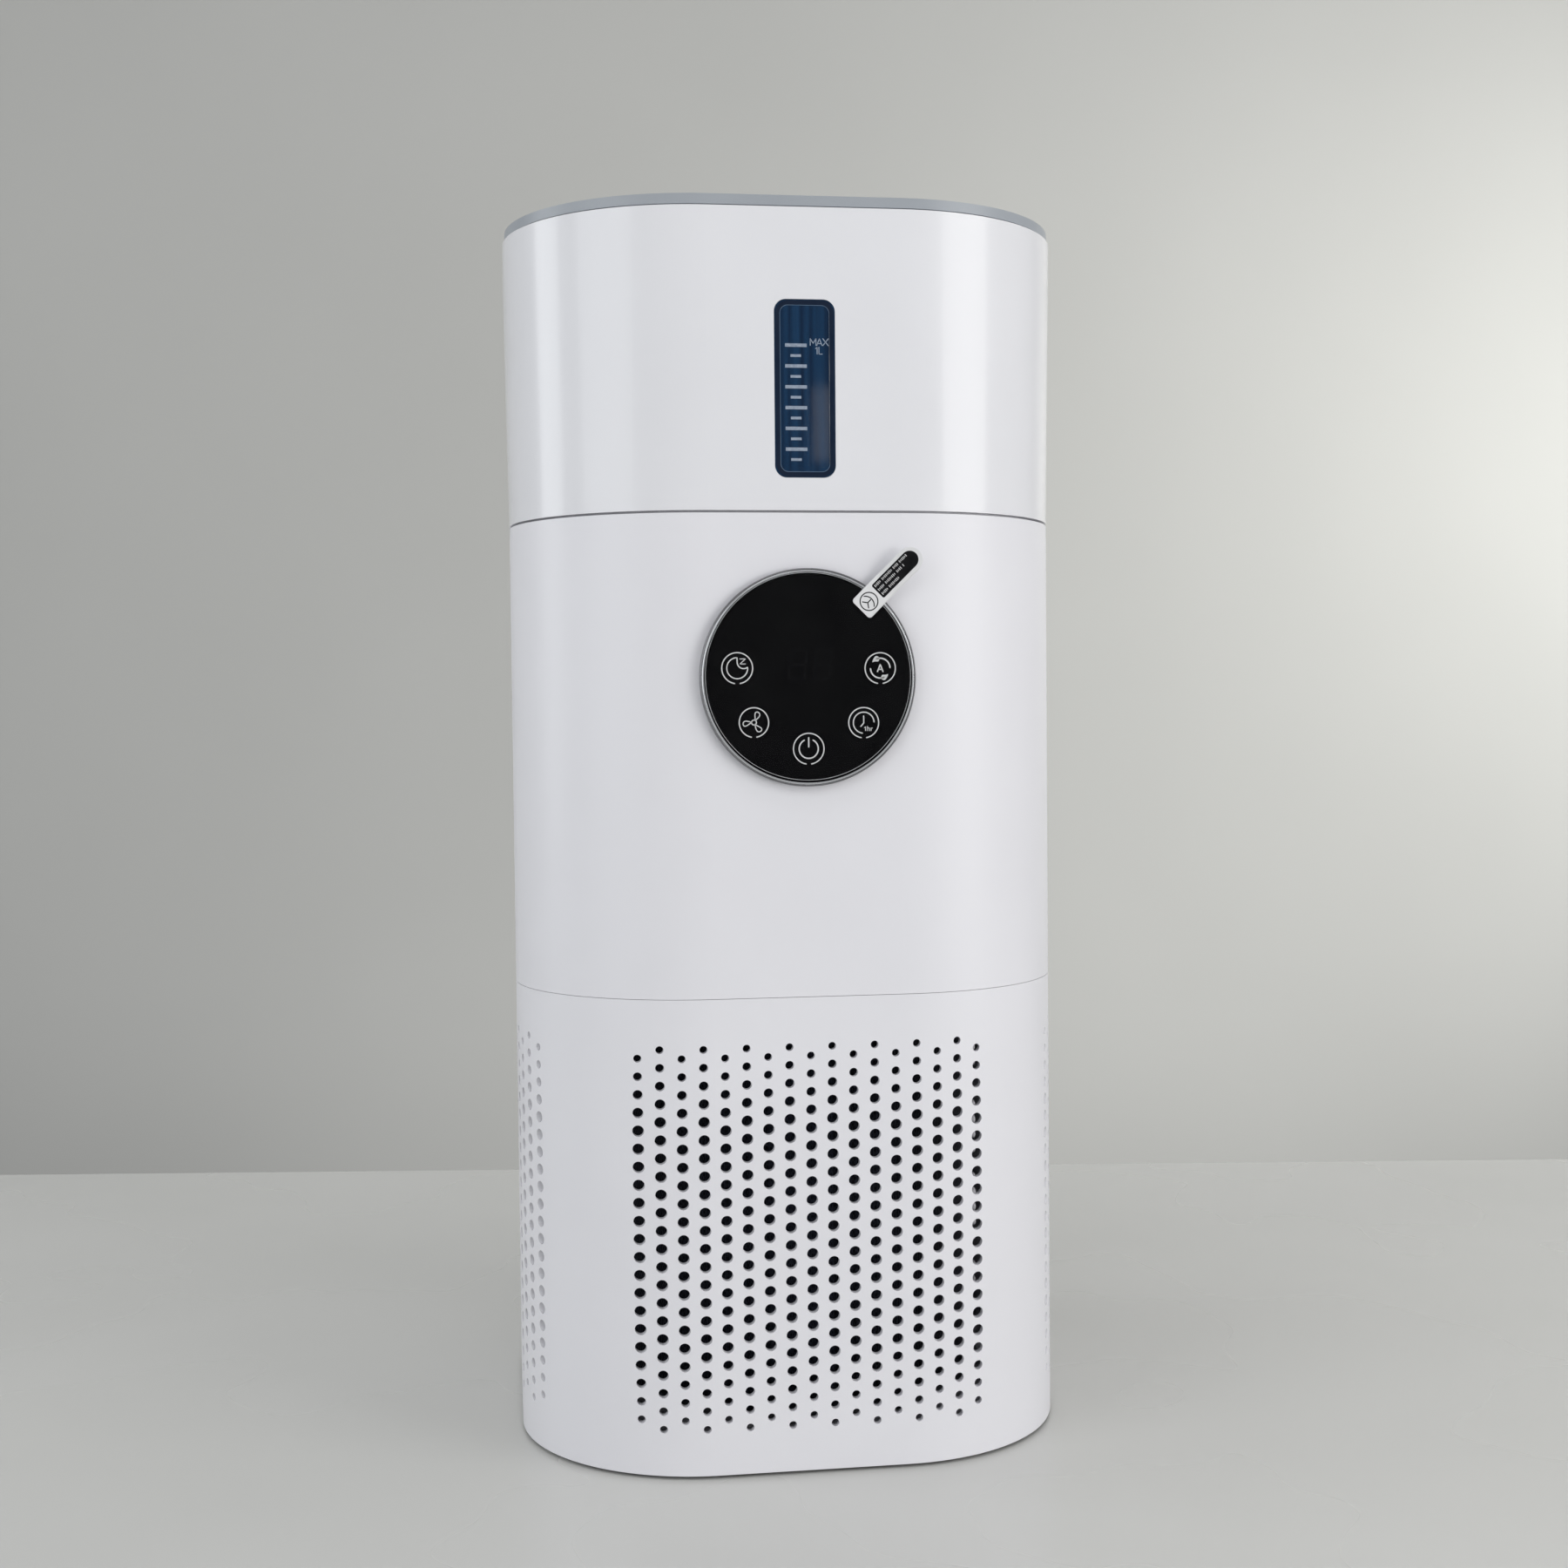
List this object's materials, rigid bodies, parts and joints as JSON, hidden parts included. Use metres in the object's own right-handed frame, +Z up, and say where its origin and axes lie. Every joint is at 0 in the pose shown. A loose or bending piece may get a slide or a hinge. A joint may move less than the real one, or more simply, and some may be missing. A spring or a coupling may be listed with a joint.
{
  "type": "air purifier",
  "caption": "Column air purifier with perforated base, touch panel, lift-off evaporative water tank and outlet grille.",
  "frame": {"origin": "centre of the square footprint, on the surface it stands on", "axes": "+Z up, front with the touch panel and the window faces -Y, +X to the right seen from the front"},
  "size_m": [0.1938, 0.1985, 0.4206],
  "materials": {
    "white_shell": "satin white ABS",
    "inner_plastic": "matt white PP",
    "dark_plastic": "matt black ABS",
    "rubber_foot": "matt rubber",
    "silicone": "translucent silicone",
    "screw_steel": "zinc-plated",
    "motor_metal": "plated steel can",
    "copper_core": "wound laminations",
    "magnet": "sintered ferrite",
    "bright_ring": "satin chrome plating",
    "panel_black": "black-backed glass",
    "film": "clear film",
    "label": "printed film label",
    "board_green": "solder-masked laminate",
    "filter_paper": "pleated filter paper",
    "filter_mesh": "dark nylon mesh",
    "carbon": "carbon-loaded foam",
    "filter_rubber": "moulded PU end cap",
    "strap_blue": "woven ribbon",
    "cap_blue": "satin blue-grey ABS",
    "window_blue": "tinted clear AS",
    "wick_plastic": "matt blue PP",
    "wick_blue": "blue pleated fibre"
  },
  "bodies": {
    "main": {"base_shell": "white_shell", "base_plate": "white_shell", "feet": "rubber_foot", "plate_screws": "screw_steel", "fan_deck": "inner_plastic", "inlet_guard": "dark_plastic", "deck_screws": "screw_steel", "fan_housing": "inner_plastic", "housing_screws": "screw_steel", "air_duct": "inner_plastic", "guide_vanes": "inner_plastic", "motor_can": "motor_metal", "motor_end_bell": "motor_metal", "motor_stator": "copper_core", "motor_bearings": "screw_steel", "motor_screws": "screw_steel", "mid_shell": "white_shell", "shell_screws": "screw_steel", "panel_ring": "bright_ring", "panel_glass": "panel_black", "screen_film": "film", "film_tab": "label", "panel_carrier": "dark_plastic", "display_board": "board_green", "touch_springs": "screw_steel", "digit_display": "dark_plastic", "control_board": "board_green", "board_screws": "screw_steel", "power_inlet": "dark_plastic", "air_sensor": "dark_plastic", "duct_seal": "silicone", "outlet_guard": "dark_plastic"},
    "rotor": {"impeller": "inner_plastic", "motor_shaft": "screw_steel", "motor_magnet": "magnet", "impeller_nut": "screw_steel"},
    "filter": {"filter_media": "filter_paper", "filter_top_ring": "filter_rubber", "filter_seal": "silicone", "filter_bottom_cap": "filter_rubber", "prefilter_sleeve": "filter_mesh", "carbon_layer": "carbon", "filter_strap": "strap_blue"},
    "cover": {"bottom_cover": "white_shell"},
    "tank": {"tank_shell": "white_shell", "tank_window": "window_blue", "window_gasket": "rubber_foot"},
    "grille": {"outlet_grille": "cap_blue", "wick_frame": "wick_plastic", "wick_media": "wick_blue"}
  },
  "joints": [
    {"name": "fan_spin", "type": "hinge", "parent": "main", "child": "rotor", "pos_m": [0, 0, 0.2], "axis": [0, 0, 1], "continuous": true},
    {"name": "filter_drop", "type": "slide", "parent": "main", "child": "filter", "axis": [0, 0, -1], "range_m": [0, 0.15]},
    {"name": "cover_twist", "type": "hinge", "parent": "filter", "child": "cover", "pos_m": [0, 0, 0], "axis": [0, 0, -1], "range_deg": [0, 30]},
    {"name": "tank_lift", "type": "slide", "parent": "main", "child": "tank", "axis": [0, 0, 1], "range_m": [0, 0.05]},
    {"name": "grille_lift", "type": "slide", "parent": "tank", "child": "grille", "axis": [0, 0, 1], "range_m": [0, 0.1]}
  ]
}
